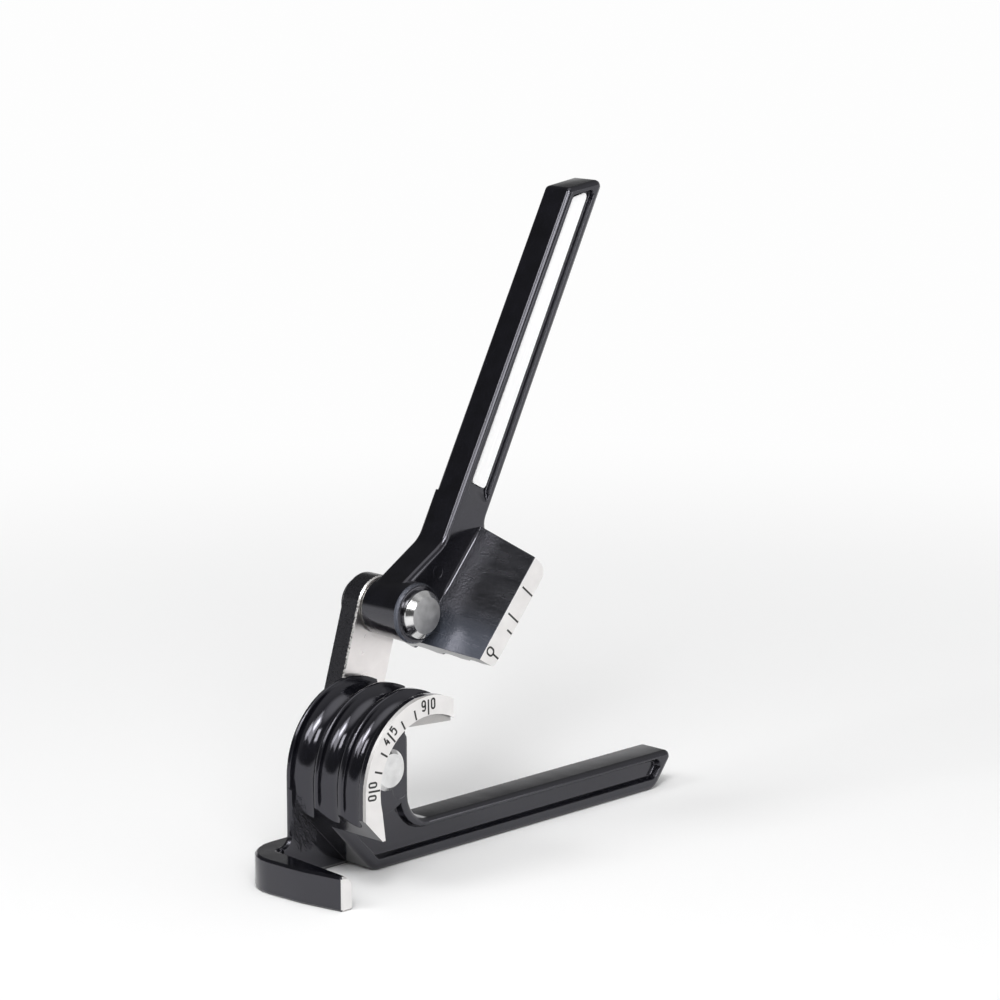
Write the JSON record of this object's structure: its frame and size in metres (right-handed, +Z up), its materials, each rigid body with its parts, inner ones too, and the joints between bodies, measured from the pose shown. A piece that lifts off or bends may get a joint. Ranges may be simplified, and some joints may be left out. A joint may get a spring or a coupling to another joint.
{
  "type": "tube bender",
  "caption": "Hand tube bender: form with three grooves, degree scale and hook on a straight lower handle, a swinging link, and an upper handle with a grooved shoe.",
  "frame": {"origin": "centre of the lower handle's flat underside, on the ground that the tool stands on", "axes": "+X along the lower handle to its tip, +Y from the scale face to the link, +Z up"},
  "size_m": [0.1517, 0.042, 0.178],
  "materials": {
    "black_paint": "gloss black paint on cast aluminium, machined bare on the scale land and the shoe's edge",
    "bright_bar": "bright zinc plated flat bar",
    "pin_steel": "turned bright steel",
    "washer_steel": "zinc plated sheet steel",
    "ring_steel": "spring steel, phosphated",
    "label": "silver white anodised sheet"
  },
  "bodies": {
    "form": {"form_handle": "black_paint", "form_pivot_pin": "pin_steel", "form_thrust_washer": "washer_steel", "form_rear_washer": "washer_steel", "form_retaining_ring": "ring_steel"},
    "link": {"link": "bright_bar", "handle_pivot_pin": "pin_steel", "shoe_thrust_washer": "washer_steel", "shoe_rear_washer": "washer_steel", "shoe_retaining_ring": "ring_steel"},
    "shoe": {"shoe_handle": "black_paint", "label_plate": "label"}
  },
  "joints": [
    {"name": "link_swing", "type": "hinge", "parent": "form", "child": "link", "pos_m": [-0.05, 0, 0.0282], "axis": [0, -1, 0], "range_deg": [-15, 110]},
    {"name": "handle_swing", "type": "hinge", "parent": "link", "child": "shoe", "pos_m": [-0.03766, 0, 0.06856], "axis": [0, -1, 0], "range_deg": [-66, 100]}
  ]
}
